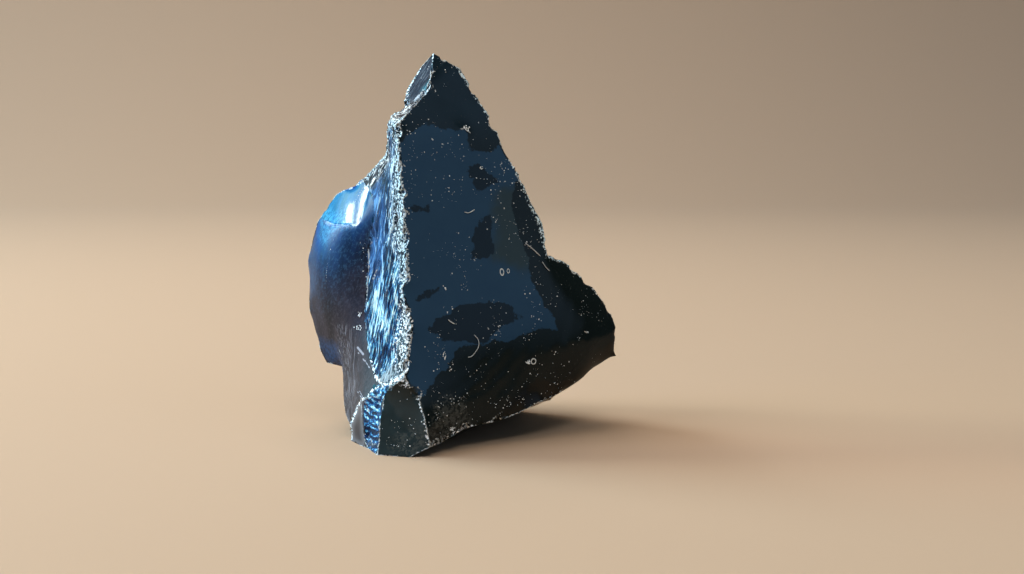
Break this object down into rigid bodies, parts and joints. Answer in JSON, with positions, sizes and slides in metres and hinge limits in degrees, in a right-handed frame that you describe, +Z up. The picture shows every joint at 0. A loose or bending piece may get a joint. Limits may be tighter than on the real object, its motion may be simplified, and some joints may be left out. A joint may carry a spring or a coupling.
{
  "type": "obsidian chunk",
  "caption": "Tall, broken piece of volcanic glass with sharp ridges and shell-shaped hollows, standing on a flat broken foot.",
  "frame": {"origin": "on the flat foot, under the middle of the stone's box", "axes": "+Z up, along the stone's height; the broad front face looks towards -Y and a little to +X; +X to the right of someone facing it"},
  "size_m": [0.0973, 0.0686, 0.1155],
  "materials": {
    "obsidian": "near-black volcanic glass, opaque at this thickness: glossy shell-shaped breaks, crushed pale ridges, a splintered band down the left of the keel, smoky brown where an edge is thin"
  },
  "bodies": {
    "root": {"chunk": "obsidian"}
  },
  "joints": []
}
